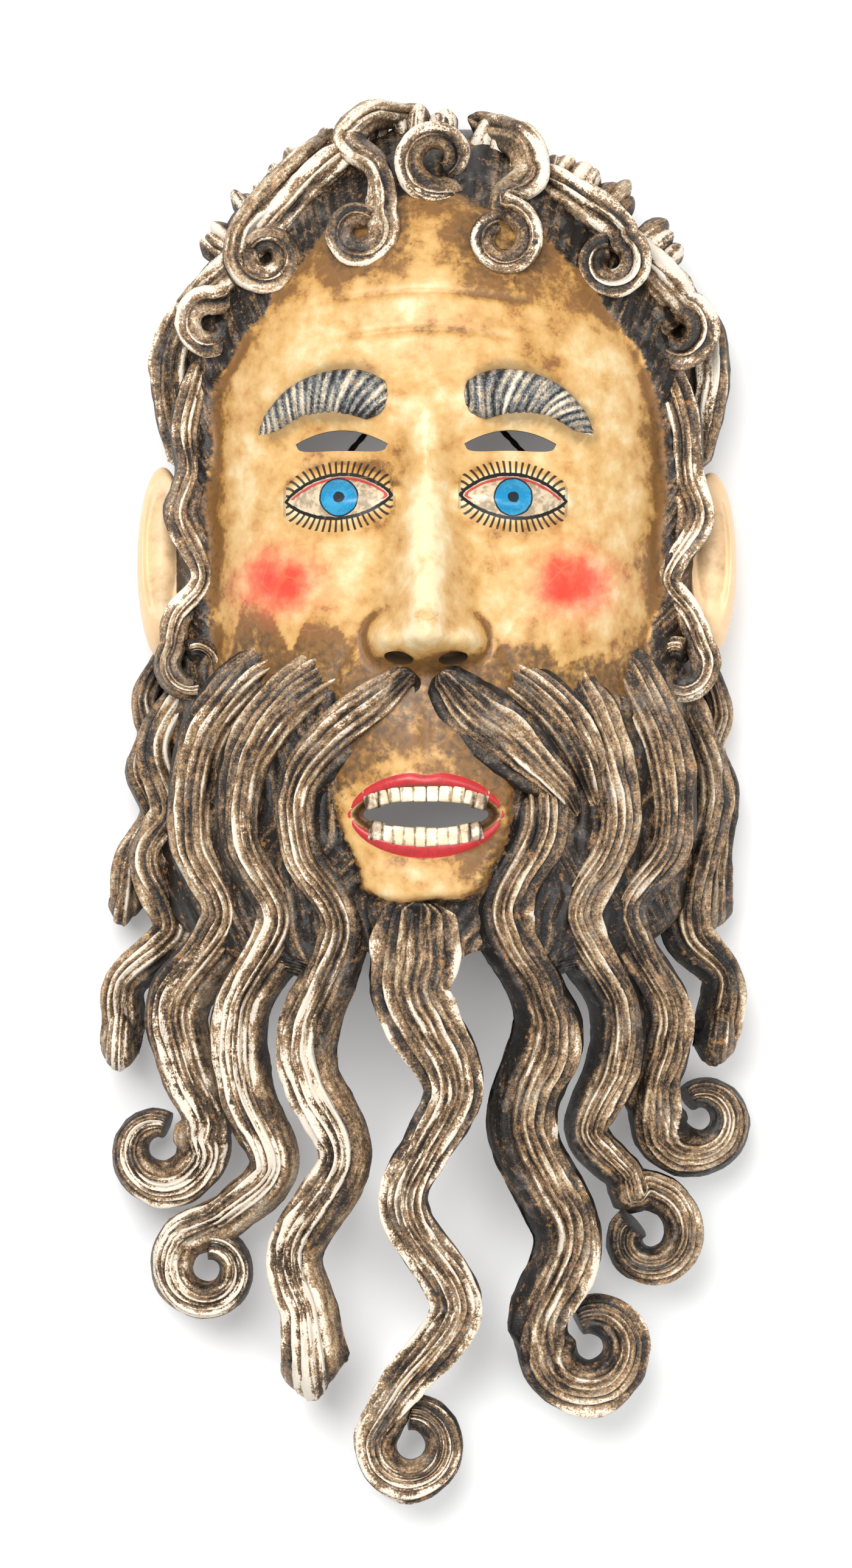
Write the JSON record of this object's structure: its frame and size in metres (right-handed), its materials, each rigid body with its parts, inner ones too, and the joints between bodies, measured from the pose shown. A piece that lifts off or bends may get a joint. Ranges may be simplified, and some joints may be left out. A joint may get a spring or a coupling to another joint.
{
  "type": "carved wooden mask",
  "caption": "Hollow wooden face mask with open eye slits and mouth, curled hair, moustache and long wavy beard locks, flat at the back.",
  "frame": {"origin": "middle of the mask's outline seen from the front, at the level of its flat sawn back", "axes": "+Y towards the top of the head, +Z out through the face, +X to the viewer's right"},
  "size_m": [0.2432, 0.5231, 0.1369],
  "materials": {
    "painted_wood": "old, worn and chipped paint on carved wood",
    "dark_cord": "dull waxed cord"
  },
  "bodies": {
    "root": {"mask": "painted_wood", "hanging_cord": "dark_cord", "cord_knot_left": "dark_cord", "cord_knot_right": "dark_cord"}
  },
  "joints": []
}
